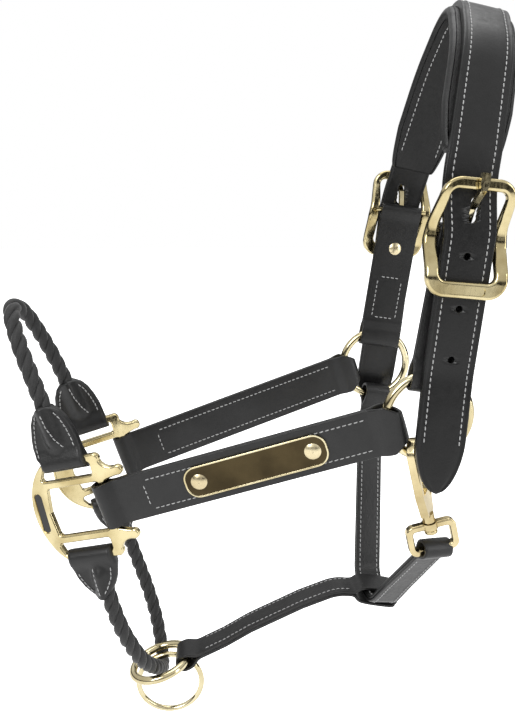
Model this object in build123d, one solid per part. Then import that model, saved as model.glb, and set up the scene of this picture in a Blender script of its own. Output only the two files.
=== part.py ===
"""Leather headcollar with a rope noseband, for a horse's head.

Millimetres, +Z up, +X towards the poll's rear, -X towards the nose, -Y the horse's left (near) side.
The origin is the seat on the poll: the middle of the crown's underside.
"""
from build123d import *
from math import atan2, cos, degrees, hypot, radians, sin, tan
import os

os.makedirs("parts", exist_ok=True)

# ---- driving dimensions ------------------------------------------------------------------------
STRAP_WIDTH = 25.0          # cheek straps and chapes
BILLET_WIDTH = 24.0         # top strap of the crown and its two billets
LEATHER = 1.8               # one layer
STRAP_HALF = 1.9            # half a doubled strap, glued and stitched
BILLET_THICK = 3.4

SIDE_Y = 57.0               # middle plane of each side: buckle bar, chape and cheek ring
BUCKLE_X, BUCKLE_Z = -20.5, -96.0
BUCKLE_LEAN = 5.0           # degrees that the billets lean back
NEAR, FAR = "near", "far"
BUCKLE_SLIDE = {NEAR: -5.3, FAR: 4.2}       # each buckle, up its billet from the middle between the two
CROWN_LEAN = 12.0
CROWN_TURN = 3.1            # the crown sits a little askew: its near half is further forward
CROWN_SHIFT = -3.2
RING_X, RING_Z = -33.0, -189.0
RING_R, RING_WIRE = 20.7, 2.3

BILLET_OUT = 6.4            # billet's middle, outwards from the side plane
BILLET_TIP = -128.0         # along the billet, from the buckle bar
HOLE_R = 1.8
HOLE_PITCH = 24.0
TONGUE_HOLE = 13.8          # along the billet from the bar
FREE_HOLES = 3

CROWN_END = -71.0           # where the arched band gives way to the billets
BACKING_WIDTH, BACKING_THICK = 33.0, 5.6
BACKING_END = -62.0
PADDING_WIDTH, PADDING_THICK = 27.0, 2.6

BAR_R = 1.3                 # buckle's centre bar
FRAME_THICK = 4.2

STRAP_TILT = 18.0           # cheek strap's slope, down towards the nose
STRAP_YAW = 8.0             # and inwards towards the nose
STRAP_START = 18.6          # fold's wire, from the ring's centre
STRAP_LENGTH = 151.0        # from the ring's wire to the square's rear bar

SQUARE_TILT, SQUARE_YAW, SQUARE_ROLL = 14.0, 13.0, 5.0
SQUARE_THICK = 4.0

ROPE_R = 4.5

JAW_RING_R, JAW_RING_WIRE = 17.3, 2.4
JAW_RING_AT = (-172.5, -4.0, -361.0)
JAW_RING_SLOPE, JAW_RING_ROLL = 15.0, 5.0
LEAD_RING_R, LEAD_RING_WIRE = 20.0, 1.7
LEAD_RING_AT = (-168.5, 10.0, -386.5)

JAW_STRAP_HALF = 8.0        # half its width

THROAT_HALF = 8.0           # half the throat strap's width
THROAT_THICK = 3.8
THROAT_BOTTOM = -316.7

HOOK_ANGLE = 256.0          # where the snap hooks the near cheek ring, degrees round it
SNAP_TILT = 14.0
SNAP_TURN = 60.0            # hook's flat, turned about the snap's axis

NOSE_ROPE_ROUTE = [
    (-219, -29, -210), (-225, -26, -192), (-231, -24, -175), (-237, -20, -160), (-242, -13, -147),
    (-244.5, -4.5, -141.5), (-244.5, 4.5, -141.5),
    (-242, 13, -147), (-237, 20, -160), (-231, 24, -175), (-225, 26, -192), (-219, 29, -210),
]
CHIN_ROPE_ROUTE = [
    (-199, -35, -277), (-196, -36, -293), (-191, -37, -311), (-185, -34, -328), (-180, -29, -341),
    (-176.5, -19, -352), (-174, -7, -362.5), (-173, 5, -372), (-173, 13, -376.5), (-174, 21, -374.5),
    (-176, 27, -363), (-179, 30, -347), (-184.5, 34, -329), (-191, 37, -311), (-196, 36, -293), (-199, 35, -277),
]


# ---- helpers -----------------------------------------------------------------------------------
def unit(x, y, z):
    return Vector(x, y, z).normalized()


def leaning_plane(x, y, z, lean):
    """Side plane: local x across to the rear, local y up the strap, local z out to the near side."""
    a = radians(lean)
    return Plane(origin=(x, y, z), x_dir=(cos(a), 0, -sin(a)), z_dir=(0, -1, 0))


def edge_plane(side_plane):
    """Same origin, seen along the width: local x outwards, local y up the strap."""
    return Plane(origin=side_plane.origin, x_dir=side_plane.z_dir, z_dir=-side_plane.x_dir)


def slab(plane, sketch, half_width):
    """A profile drawn on a plane, extruded the same amount to both sides."""
    return extrude(plane * sketch, amount=half_width, both=True)


def polygon(points):
    return make_face(Polyline(*points, close=True))


def box_between(x0, x1, y0, y1):
    return Pos((x0 + x1) / 2, (y0 + y1) / 2) * Rectangle(x1 - x0, y1 - y0)


def inset_polyline(points, distance):
    """Offset an open polyline to its left by mitring each corner."""
    moved = []
    for i, p in enumerate(points):
        before = Vector(*points[max(i - 1, 0)])
        here = Vector(*p)
        after = Vector(*points[min(i + 1, len(points) - 1)])
        d0 = (here - before).normalized() if i else (after - here).normalized()
        d1 = (after - here).normalized() if i < len(points) - 1 else d0
        n0 = Vector(-d0.Y, d0.X)
        n1 = Vector(-d1.Y, d1.X)
        mitre = n0 + n1
        scale = distance * 2 / (mitre.length ** 2)
        moved.append((p[0] + mitre.X * scale, p[1] + mitre.Y * scale))
    return moved


def rope_tube(name, route, radius):
    """Straight runs joined by the largest arcs that the runs allow."""
    points = [Vector(*p) for p in route]
    radii = []
    for before, here, after in zip(points, points[1:], points[2:]):
        run = min((here - before).length, (after - here).length)
        turn = (here - before).get_angle(after - here)
        radii.append(0.45 * run / tan(radians(turn) / 2))
    path = FilletPolyline(*points, radius=radii)
    start = Plane(origin=path @ 0, z_dir=path % 0)
    tube = sweep(start * Circle(radius), path=path)
    drawn = 3.141593 * radius ** 2 * path.length
    print(name, "radii", [round(r, 1) for r in radii], "length", round(path.length, 1),
          "volume ratio", round(tube.volume / drawn, 4))
    return tube


def torus_on(centre, normal, major, minor):
    return Plane(origin=centre, z_dir=normal) * Torus(major, minor)


def write(node, shape):
    export_step(Part() + shape, f"parts/{node}.step")


def write_pair(name, shape):
    """The near piece and its mirror image on the far side."""
    write(f"near_{name}", shape)
    write(f"far_{name}", mirror(shape, about=Plane.XZ))


def write_sides(name, build):
    """Pieces that differ with their buckle's place: build gives each as if it were on the near side."""
    write(f"near_{name}", build(NEAR))
    write(f"far_{name}", mirror(build(FAR), about=Plane.XZ))


# ---- frames of the near side -------------------------------------------------------------------
BUCKLE = leaning_plane(BUCKLE_X, -SIDE_Y, BUCKLE_Z, BUCKLE_LEAN)
RIVET_AT = -23.5            # chape's rivet, along it from the bar
RIVET_SHANK = 1.5


def bar_plane(side):
    """A buckle's own plane: its bar is local x."""
    bar = BUCKLE.from_local_coords(Vector(0, BUCKLE_SLIDE[side], 0))
    return leaning_plane(bar.X, bar.Y, bar.Z, BUCKLE_LEAN)


def chape_plane(side):
    """Plane of a chape, from its bar down to the ring's centre, and the distance between the two."""
    bar = bar_plane(side).origin
    lean = degrees(atan2(bar.X - RING_X, bar.Z - RING_Z))
    return leaning_plane(bar.X, bar.Y, bar.Z, lean), hypot(bar.X - RING_X, bar.Z - RING_Z)


def tilted_plane(origin, tilt, yaw, roll=0.0):
    """Side plane: local x to the rear and up by tilt, local y up, local z out to the near side."""
    t, w, r = radians(tilt), radians(yaw), radians(roll)
    rear = Vector(cos(t) * cos(w), -sin(w), sin(t) * cos(w))
    up = Vector(-sin(t), 0, cos(t))
    out = rear.cross(up)
    leaned = up * cos(r) - out * sin(r)
    return Plane(origin=origin, x_dir=rear, z_dir=rear.cross(leaned))


STRAP_ORIGIN = (
    RING_X - STRAP_START * cos(radians(STRAP_TILT)),
    -SIDE_Y,
    RING_Z - STRAP_START * sin(radians(STRAP_TILT)),
)
STRAP = tilted_plane(STRAP_ORIGIN, STRAP_TILT, STRAP_YAW)
REAR_BAR = STRAP.from_local_coords(Vector(-STRAP_LENGTH, 0, 0))
SQUARE = tilted_plane(REAR_BAR, SQUARE_TILT, SQUARE_YAW, SQUARE_ROLL)
crown_lean, crown_turn = radians(CROWN_LEAN), radians(CROWN_TURN)
CROWN = Plane(
    origin=(CROWN_SHIFT, 0, 0),
    x_dir=(sin(crown_turn), cos(crown_turn), 0),
    z_dir=(cos(crown_lean) * cos(crown_turn), -cos(crown_lean) * sin(crown_turn), -sin(crown_lean)),
)


# ---- crown -------------------------------------------------------------------------------------
BILLET_Y = SIDE_Y + BILLET_OUT
CROWN_HALF = [(BILLET_Y, -104.0), (BILLET_Y, -72.0), (38.0, -16.0)]
CROWN_APEX = (0.0, 17.4)
CROWN_RADII = [40.0, 60.0, 30.0, 60.0, 40.0]
CROWN_LINE = CROWN_HALF + [CROWN_APEX] + [(-x, y) for x, y in reversed(CROWN_HALF)]


def crown_band(inset, thickness, width, end):
    """A band that follows the crown's arch, inset towards the head and cut off at both ends."""
    outer = inset_polyline(CROWN_LINE, inset)
    inner = inset_polyline(CROWN_LINE, inset + thickness)
    outer_edge = FilletPolyline(*outer, radius=[r - inset for r in CROWN_RADII])
    inner_edge = FilletPolyline(*inner, radius=[r - inset - thickness for r in CROWN_RADII])
    section = make_face([
        outer_edge, inner_edge,
        Line(outer_edge @ 0, inner_edge @ 0), Line(outer_edge @ 1, inner_edge @ 1),
    ])
    kept = box_between(-90, 90, end, 40)
    return slab(CROWN, section & kept, width / 2)


BILLET_PLAN_TOP = 28.0
TIP_SHOULDER = 26.0


def billet_plan():
    """Outline of a billet with a rounded point at its lower end."""
    half = BILLET_WIDTH / 2
    shoulder = BILLET_TIP + TIP_SHOULDER
    left = ThreePointArc((-half, shoulder), (-half + 3.2, shoulder - 15), (0, BILLET_TIP))
    right = ThreePointArc((0, BILLET_TIP), (half - 3.2, shoulder - 15), (half, shoulder))
    top = Polyline((half, shoulder), (half, BILLET_PLAN_TOP), (-half, BILLET_PLAN_TOP), (-half, shoulder))
    return make_face([left, right, top])


BILLET_LINE = FilletPolyline((BILLET_OUT, 30), (BILLET_OUT, -72), (BILLET_OUT + 7.4, -134), radius=80)
TONGUE_SLOT = (5.5, 17.0)
TONGUE_SLOT_HALF = 1.9


def billet_holes(side):
    """The slot that the buckle's tongue passes through, and the free holes below it."""
    holes = Sketch() + box_between(-TONGUE_SLOT_HALF, TONGUE_SLOT_HALF, *TONGUE_SLOT)
    for i in range(FREE_HOLES):
        holes += Pos(0, TONGUE_HOLE - HOLE_PITCH * (i + 1)) * Circle(HOLE_R)
    return extrude(bar_plane(side) * holes, amount=20)


def billet(side):
    edge = slab(edge_plane(BUCKLE), trace(BILLET_LINE, line_width=BILLET_THICK), 20)
    return (extrude(BUCKLE * billet_plan(), amount=40) & edge) - billet_holes(side)


top_strap = crown_band(-BILLET_THICK / 2, BILLET_THICK, BILLET_WIDTH, CROWN_END)
top_strap -= billet_holes(NEAR) + mirror(billet_holes(FAR), about=Plane.XZ)
write("crown_strap", top_strap + billet(NEAR) + mirror(billet(FAR), about=Plane.XZ))

padding = crown_band(BILLET_THICK / 2 + 1.5, PADDING_THICK, PADDING_WIDTH, BACKING_END + 6)
backing = crown_band(BILLET_THICK / 2, BACKING_THICK, BACKING_WIDTH, BACKING_END)
write("crown_backing", backing - padding)
write("crown_padding", padding)


# ---- buckles -----------------------------------------------------------------------------------
def buckle_frame(side):
    """Cast frame, bowed so that its ends clear the billet, with a plain recess on the lower bar."""
    plane = bar_plane(side)
    outline = polygon([(-16, 24.2), (16, 24.2), (19.6, -4), (18.8, -28.9), (-18.8, -28.9), (-19.6, -4)])
    outline = fillet(outline.vertices(), 9)
    opening = polygon([(-12.8, 18.8), (12.8, 18.8), (13.4, -4), (13, -21.4), (-13, -21.4), (-13.4, -4)])
    opening = fillet(opening.vertices(), 3.5)
    plan = extrude(plane.offset(-6) * (outline - opening), amount=30)
    bow_line = FilletPolyline((10.8, 32), (10.6, 16.4), (1.5, 3), (1.5, -5), (10.6, -18.6), (10.8, -36), radius=10)
    bow = slab(edge_plane(plane), trace(bow_line, line_width=FRAME_THICK), 30)
    frame = fillet((plan & bow).edges(), 1.4)
    panel = fillet(box_between(-9, 9, -27.2, -23.2).vertices(), 1.5)
    frame -= extrude(plane.offset(12.1) * panel, amount=6)
    bar = slab(edge_plane(plane), Circle(BAR_R), 15.5)
    return frame + bar


def tongue(side):
    """Flat-tipped tongue on a knuckle that turns on the centre bar."""
    plane = bar_plane(side)
    edge = edge_plane(plane)
    knuckle = slab(edge, Circle(2.9) - Circle(BAR_R + 0.05), 2.4)
    line = Polyline((0.6, 2.2), (4.8, 11.4), (14.5, 19.0), (14.8, 26.4))
    profile = slab(edge, trace(line, line_width=2.5), 3)
    plan = polygon([(-1.3, 1.6), (1.3, 1.6), (1.3, 18), (2.1, 22), (1.8, 26), (-1.8, 26), (-2.1, 22), (-1.3, 18)])
    shank = extrude(plane.offset(-2) * plan, amount=24) & profile
    return knuckle + (shank - slab(edge, Circle(BAR_R + 0.05), 4))


write_sides("buckle_frame", buckle_frame)
write_sides("buckle_tongue", tongue)


# ---- chapes: strap folded over the buckle bar and round the ring -------------------------------
POCKET_HALF = RING_WIRE + 0.8


def wire_pocket(first, last, half):
    """Rounded pocket for a curved wire: from its nearest to its furthest place along the strap."""
    middle = (first + last) / 2
    return Pos(0, middle) * Rotation(0, 0, 90) * SlotCenterToCenter(abs(last - first), 2 * half)


def chape(side):
    plane, to_ring = chape_plane(side)
    edge = edge_plane(plane)
    ring_top = RING_R - to_ring
    ring_edge = (RING_R ** 2 - (STRAP_WIDTH / 2) ** 2) ** 0.5 - to_ring
    body = wire_pocket(-0.6, 0.6, BAR_R + 0.2 + LEATHER) + box_between(-LEATHER, LEATHER, ring_top, 0)
    body += wire_pocket(ring_top, ring_edge, POCKET_HALF + LEATHER - 0.2)
    profile = body - wire_pocket(-0.6, 0.6, BAR_R + 0.2) - wire_pocket(ring_top, ring_edge, POCKET_HALF)
    strap = slab(edge, profile, STRAP_WIDTH / 2)
    slot = slab(edge, box_between(-6, 6, -5, 6), 2.8)
    rivet_hole = slab(plane, Pos(0, RIVET_AT) * Circle(RIVET_SHANK), 6)
    return strap - slot - rivet_hole


write_sides("chape", chape)


def two_headed_rivet(low, high, head, dome):
    """A rivet along local z, with a low dome on each end of its shank."""
    bulge = (head ** 2 + dome ** 2) / (2 * dome)
    ball = Pos(0, 0, dome - bulge) * Sphere(bulge)
    cap = ball & Cylinder(head + 1, dome, align=(Align.CENTER, Align.CENTER, Align.MIN))
    shank = Pos(0, 0, (low + high) / 2) * Cylinder(RIVET_SHANK, high - low + dome)
    return shank + Pos(0, 0, high) * cap + Pos(0, 0, low) * Rotation(180, 0, 0) * cap


def chape_rivet(side):
    return chape_plane(side)[0] * Pos(0, RIVET_AT) * two_headed_rivet(-LEATHER, LEATHER, 4.0, 1.1)


write_sides("chape_rivet", chape_rivet)


# ---- cheek rings and cheek straps --------------------------------------------------------------
write_pair("cheek_ring", torus_on((RING_X, -SIDE_Y, RING_Z), (0, 1, 0), RING_R, RING_WIRE))

SQUARE_POCKET = 4.2
PLATE_AT = -70.0            # nameplate's middle, along the strap from the ring's wire
PLATE_LENGTH, PLATE_HEIGHT, PLATE_THICK = 75.0, 17.0, 1.2
PLATE_RIVET = 30.0          # each rivet, from the plate's middle


def along_plane(side_plane):
    """Same origin, seen along the width: local x outwards, local y to the rear."""
    return Plane(origin=side_plane.origin, x_dir=side_plane.z_dir, z_dir=side_plane.y_dir)


def cheek_strap():
    reach = RING_R - STRAP_START
    ring_pocket = wire_pocket(-reach, reach, RING_WIRE + 0.9)
    ring_fold = wire_pocket(-reach, reach, RING_WIRE + 0.9 + LEATHER)
    body = box_between(-STRAP_HALF, STRAP_HALF, -STRAP_LENGTH, 0)
    square_fold = Pos(0, -STRAP_LENGTH) * Circle(SQUARE_POCKET + LEATHER)
    profile = body + ring_fold + square_fold - ring_pocket - Pos(0, -STRAP_LENGTH) * Circle(SQUARE_POCKET)
    strap = slab(along_plane(STRAP), profile, STRAP_WIDTH / 2)
    nick = polygon([(reach + 6, 5.5), (reach + 6, 14), (-1, 14), (-1, 12.5)])
    nicks = extrude(STRAP.offset(-8) * (nick + mirror(nick, about=Plane.XZ)), amount=16)
    return strap - nicks


rivet_holes = slab(STRAP, Sketch() + [Pos(PLATE_AT + side * PLATE_RIVET, 0) * Circle(1.5) for side in (-1, 1)], 8)
near_strap = cheek_strap()
write("far_cheek_strap", mirror(near_strap, about=Plane.XZ))
write("near_cheek_strap", near_strap - rivet_holes)
plate_sketch = Pos(PLATE_AT, 0) * RectangleRounded(PLATE_LENGTH, PLATE_HEIGHT, 7.0)
write("nameplate", extrude(STRAP.offset(STRAP_HALF) * plate_sketch, amount=PLATE_THICK) - rivet_holes)
plate_rivets = Part()
for side in (-1, 1):
    at = Pos(PLATE_AT + side * PLATE_RIVET, 0)
    plate_rivets += STRAP * at * two_headed_rivet(-STRAP_HALF, STRAP_HALF + PLATE_THICK, 4.2, 1.2)
write("nameplate_rivets", plate_rivets)


# ---- cheek squares -----------------------------------------------------------------------------
SLOT_BAR = 26.5             # middle of the bar that each tab folds round, up or down from the rear bar
BAR_HALF = 2.1


def square_outline():
    """Bowed front, straight slot bars, and a rounded point and a lobe at each rear corner."""
    edge = SLOT_BAR + BAR_HALF
    upper = [
        Line((-29, edge), (-1.6, edge)),
        ThreePointArc((-1.6, edge), (1.2, edge - 1.2), (1.5, 24.4)),
        ThreePointArc((1.5, 24.4), (4.6, 20.9), (9.4, 20.4)),
        ThreePointArc((9.4, 20.4), (12.8, 17.7), (9.4, 15.0)),
        ThreePointArc((9.4, 15.0), (5.4, 14.2), (BAR_HALF, 13)),
    ]
    lower = [mirror(e, about=Plane.XZ) for e in upper]
    rear = Line((BAR_HALF, 13), (BAR_HALF, -13))
    front = ThreePointArc((-29, edge), (-45.5, 0), (-29, -edge))
    return make_face(upper + lower + [rear, front])


def bend_plane():
    """Square seen along its height: local x to the rear, local y outwards."""
    return Plane(origin=SQUARE.origin, x_dir=SQUARE.x_dir, z_dir=-SQUARE.y_dir)


def bend_line(out):
    """The square is flat, but its front plate curves in towards the nose."""
    return FilletPolyline((16, out), (-31, out), (-50, out - 5.5), radius=25)


def cheek_square():
    window = polygon([(-BAR_HALF, 13.3), (-32, 13.3), (-34, 0), (-32, -13.3), (-BAR_HALF, -13.3)])
    window = fillet(window.vertices(), 2)
    slot = fillet(polygon([(-4, 17.6), (-4, 24.4), (-31, 24.4), (-34.5, 17.6)]).vertices(), 1.5)
    plan = extrude(SQUARE.offset(-20) * (square_outline() - window - slot - mirror(slot, about=Plane.XZ)), amount=40)
    bend = slab(bend_plane(), trace(bend_line(0), line_width=SQUARE_THICK), 40)
    casting = fillet((plan & bend).edges(), 1.1)
    panel = Pos(-39.6, 0) * Rotation(0, 0, 90) * SlotOverall(23, 5.6)
    skin = slab(bend_plane(), trace(bend_line(SQUARE_THICK / 2), line_width=1.0), 40)
    return casting - (extrude(SQUARE.offset(-20) * panel, amount=40) & skin)


write_pair("cheek_square", cheek_square())


# ---- ropes -------------------------------------------------------------------------------------
nose_rope = rope_tube("nose_rope", NOSE_ROPE_ROUTE, ROPE_R)
chin_rope = rope_tube("chin_rope", CHIN_ROPE_ROUTE, ROPE_R)
write("nose_rope", nose_rope)
write("chin_rope", chin_rope)


# ---- tabs: leather leaves that hold the rope ends in the squares' slots ------------------------
TAB_POCKET = 2.9
FOLD = (-30.4, -4.8)        # the fold's ends, inside the square's slot
NOSE_LEAF = [(-5, 28), (-5.5, 36), (-8, 46), (-14, 57), (-25, 58), (-30, 50), (-33, 40), (-33, 30), (-30.4, 28)]
CHIN_LEAF = [(-5, -28), (-4.5, -34), (-7, -43), (-14, -51), (-22, -51), (-28, -42), (-30.4, -32), (-30.4, -28)]


def tab(leaf, bar, route, rope):
    """Leaf sewn round the rope's end and folded round a slot bar."""
    outline = fillet(polygon(leaf).vertices(), 1)
    leaf_solid = extrude(SQUARE * outline, amount=2.6, both=True)
    fold_plane = Plane(origin=SQUARE.origin, x_dir=SQUARE.z_dir, z_dir=-SQUARE.x_dir)
    fold = slab_between(fold_plane, Pos(0, bar) * Circle(TAB_POCKET + LEATHER), -FOLD[1], -FOLD[0])
    pocket = slab_between(fold_plane, Pos(0, bar) * Circle(TAB_POCKET), -FOLD[1] - 5, -FOLD[0] + 5)
    first, second, third = (Vector(*p) for p in route[:3])
    sleeve = sleeve_along(first, second, ROPE_R + 1.5) + sleeve_along(second, third, ROPE_R + 1.5)
    sleeve &= extrude(SQUARE * outline, amount=12, both=True)
    return leaf_solid + fold + sleeve - pocket - rope


def slab_between(plane, sketch, low, high):
    return extrude(plane.offset(low) * sketch, amount=high - low)


def sleeve_along(start, end, radius):
    direction = end - start
    return extrude(Plane(origin=start, z_dir=direction) * Circle(radius), amount=direction.length)


write_pair("nose_tab", tab(NOSE_LEAF, SLOT_BAR, NOSE_ROPE_ROUTE, nose_rope))
write_pair("chin_tab", tab(CHIN_LEAF, -SLOT_BAR, CHIN_ROPE_ROUTE, chin_rope))

# ---- rings under the jaw -----------------------------------------------------------------------
slope, roll = radians(JAW_RING_SLOPE), radians(JAW_RING_ROLL)
JAW_RING_REAR = Vector(cos(slope), 0, sin(slope))
JAW_RING_NORMAL = JAW_RING_REAR.cross(Vector(0, cos(roll), -sin(roll)))
write("jaw_ring", torus_on(JAW_RING_AT, JAW_RING_NORMAL, JAW_RING_R, JAW_RING_WIRE))
write("lead_ring", torus_on(LEAD_RING_AT, (0, 1, 0), LEAD_RING_R, LEAD_RING_WIRE))


# ---- throat strap: from the far cheek ring, under the throat, to the snap's eye -----------------
THROAT_SLOPE = (0.125, -0.167)      # the far leg leans back as it goes across and up
THROAT_X = 10.5
THROAT_NORMAL = unit(1, *THROAT_SLOPE)
NEAR_LEG_START = (-30.0, -297.0)


def throat_place(y, z):
    """Point of the far leg's plane that has this Y and Z."""
    return Vector(THROAT_X - THROAT_SLOPE[0] * y - THROAT_SLOPE[1] * z, y, z)


far_ring_foot = throat_place(SIDE_Y, RING_Z - RING_R)
across = Vector(0, 1, 0) - THROAT_NORMAL * THROAT_NORMAL.Y
THROAT = Plane(origin=far_ring_foot, x_dir=across, z_dir=THROAT_NORMAL)

snap_turn, snap_tilt, hook_angle = radians(SNAP_TURN), radians(SNAP_TILT), radians(HOOK_ANGLE)
SNAP_UP = Vector(-sin(snap_tilt), 0, cos(snap_tilt))
SNAP_REAR = Vector(cos(snap_tilt), 0, sin(snap_tilt))
HOOK_SIDE = SNAP_REAR * cos(snap_turn) + Vector(0, sin(snap_turn), 0)
WIRE_IN_HOOK = 30.7                 # ring's wire, along the snap from the hook's foot
HOOKED = Vector(RING_X + RING_R * cos(hook_angle), -SIDE_Y, RING_Z + RING_R * sin(hook_angle))
SNAP_FOOT = HOOKED - SNAP_UP * WIRE_IN_HOOK
EYE = Plane(origin=SNAP_FOOT, x_dir=SNAP_REAR, z_dir=SNAP_REAR.cross(SNAP_UP))
HOOK = Plane(origin=SNAP_FOOT, x_dir=HOOK_SIDE, z_dir=HOOK_SIDE.cross(SNAP_UP))
EYE_TOP, EYE_BOTTOM, EYE_BAR = -8.2, -21.8, 3.4


def throat_strap():
    local = []
    for y, z in ((57, -209.7), (54.5, -232), (10, THROAT_BOTTOM + 0.3), (-16, THROAT_BOTTOM), NEAR_LEG_START):
        place = THROAT.to_local_coords(throat_place(y, z))
        local.append((place.X, place.Y))
    line = FilletPolyline(*local, radius=[30, 14, 12])
    pocket = wire_pocket(-1.8, 3.4, RING_WIRE + 2.1)
    fold = wire_pocket(-1.8, 3.4, RING_WIRE + 2.1 + LEATHER)
    far_leg = slab(THROAT, trace(line, line_width=THROAT_THICK) + fold - pocket, THROAT_HALF)

    start = throat_place(*NEAR_LEG_START)
    along = THROAT.from_local_coords(Vector(*local[-1])) - THROAT.from_local_coords(Vector(*local[-2]))
    eye_bar = EYE.from_local_coords(Vector(0, EYE_BOTTOM, 0))
    leg = (eye_bar - start).normalized()
    square_leg = (leg - SNAP_REAR * leg.dot(SNAP_REAR)).normalized()
    lower = Plane(origin=start, x_dir=THROAT_NORMAL, z_dir=along) * Rectangle(2 * THROAT_HALF, THROAT_THICK)
    upper = Plane(origin=eye_bar - leg * 3, x_dir=SNAP_REAR, z_dir=square_leg) * Rectangle(2 * THROAT_HALF, THROAT_THICK)
    near_leg = loft([lower.face(), upper.face()], ruled=True)
    round_bar = Plane(origin=eye_bar, x_dir=square_leg, z_dir=SNAP_REAR)
    near_leg += slab(round_bar, Circle(3.3 + LEATHER), THROAT_HALF)
    return far_leg + (near_leg - slab(round_bar, Circle(3.3), 2 * THROAT_HALF))


write("throat_strap", throat_strap())


# ---- jaw strap: from the jaw ring, back under the jaw, round the throat strap --------------------
JAW_SIDE = Plane(origin=(0, JAW_RING_AT[1], 0), x_dir=(1, 0, 0), z_dir=(0, -1, 0))
jaw_wire = Vector(*JAW_RING_AT) + JAW_RING_REAR * JAW_RING_R
throat_under = throat_place(JAW_RING_AT[1], THROAT_BOTTOM)
JAW_LINE = [(-133, -345), (-118, -336), (-87, -321), (-66, -313), (throat_under.X - 9.5, THROAT_BOTTOM + 4.6)]


def jaw_strap():
    front = Pos(jaw_wire.X, jaw_wire.Z) * Rotation(0, 0, JAW_RING_SLOPE) * Pos(-1, 0)
    rear = Pos(throat_under.X, THROAT_BOTTOM) * Rotation(0, 0, degrees(atan2(THROAT_SLOPE[1], 1)))
    line = FilletPolyline((jaw_wire.X, jaw_wire.Z), *JAW_LINE, radius=25)
    profile = trace(line, line_width=2 * STRAP_HALF)
    profile += front * SlotCenterToCenter(2, 2 * (3.6 + LEATHER)) + rear * RectangleRounded(23.6, 11.8, 4)
    profile -= front * SlotCenterToCenter(2, 2 * 3.6) + rear * RectangleRounded(20, 8.2, 2.2)
    return slab(JAW_SIDE, profile, JAW_STRAP_HALF)


write("jaw_strap", jaw_strap())


# ---- swivel snap on the near cheek ring ----------------------------------------------------------
HOOK_HALF_THICK = 2.2
MOUTH_R, HOOK_METAL = 5.0, 3.0
MOUTH_TOP = WIRE_IN_HOOK + 0.8      # centre of the mouth's round end
GATE_PIVOT = (5.4, 7.0)
NOSE_END, GATE_TIP = 25.2, 24.7
STEM_R = 2.0
PIN_R = 1.0
FIT = 0.05


def snap_hook():
    outer = MOUTH_R + HOOK_METAL
    plan = Pos(0, MOUTH_TOP) * Circle(outer) + box_between(-outer, outer, 12, MOUTH_TOP)
    plan += polygon([(-outer, 12.5), (-4.6, -2), (4.6, -2), (outer, 12.5)])
    mouth = Pos(0, MOUTH_TOP) * Circle(MOUTH_R) + box_between(-MOUTH_R, MOUTH_R, 11, MOUTH_TOP)
    plan -= mouth + box_between(MOUTH_R - 2, outer + 2, 11, NOSE_END)
    body = fillet(slab(HOOK, plan, HOOK_HALF_THICK).edges().filter_by(GeomType.LINE, reverse=True), 0.7)
    knuckle_slot = Pos(*GATE_PIVOT) * Circle(3.0) + box_between(GATE_PIVOT[0] - 3.0, outer + 3, GATE_PIVOT[1], 12)
    body -= slab(HOOK, knuckle_slot, 1.4) + slab(HOOK, Pos(*GATE_PIVOT) * Circle(PIN_R), 4)
    turned = Plane(origin=SNAP_FOOT, x_dir=HOOK_SIDE, z_dir=-SNAP_UP)
    collar = extrude(turned.offset(1.5) * Circle(3.2), amount=4.6)
    stem = extrude(turned.offset(1.5) * Circle(STEM_R), amount=10)
    head = extrude(turned.offset(10.3) * Circle(3.4), amount=2.4)
    return body + collar + stem + fillet(head.edges(), 0.7)


def snap_gate():
    plan = Pos(*GATE_PIVOT) * Circle(2.6)
    plan += polygon([(GATE_PIVOT[0] - 2.2, 8.2), (GATE_PIVOT[0] + 2.6, 7), (8.0, 12), (8.0, GATE_TIP), (MOUTH_R, GATE_TIP),
                     (MOUTH_R, 12)])
    leaf = slab(HOOK, plan & box_between(0, 9, 12.2, 30), 2.0) + slab(HOOK, plan & box_between(0, 9, 0, 12.3), 1.3)
    return leaf - slab(HOOK, Pos(*GATE_PIVOT) * Circle(PIN_R + FIT), 4)


def snap_eye():
    height = EYE_TOP - EYE_BOTTOM
    ring = RectangleRounded(26, height + EYE_BAR, 4.2) - RectangleRounded(26 - 2 * EYE_BAR, height - EYE_BAR, 1.6)
    eye = slab(EYE, Pos(0, (EYE_TOP + EYE_BOTTOM) / 2) * ring, 2.25)
    eye = fillet(eye.edges().filter_by(GeomType.LINE, reverse=True), 0.9)
    turned = Plane(origin=SNAP_FOOT, x_dir=SNAP_REAR, z_dir=-SNAP_UP)
    boss = extrude(turned.offset(-EYE_TOP - EYE_BAR / 2) * Circle(4.0), amount=EYE_BAR)
    hole = extrude(turned.offset(2) * Circle(STEM_R + FIT), amount=12)
    return eye + boss - hole


write("snap_hook", snap_hook())
write("snap_gate", snap_gate())
write("snap_gate_pin", slab(HOOK, Pos(*GATE_PIVOT) * Circle(PIN_R), 2.5))
write("snap_eye", snap_eye())
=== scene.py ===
"""Looks of the leather headcollar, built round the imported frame.

Lengths are in millimetres until a mesh is made.
"""

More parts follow.
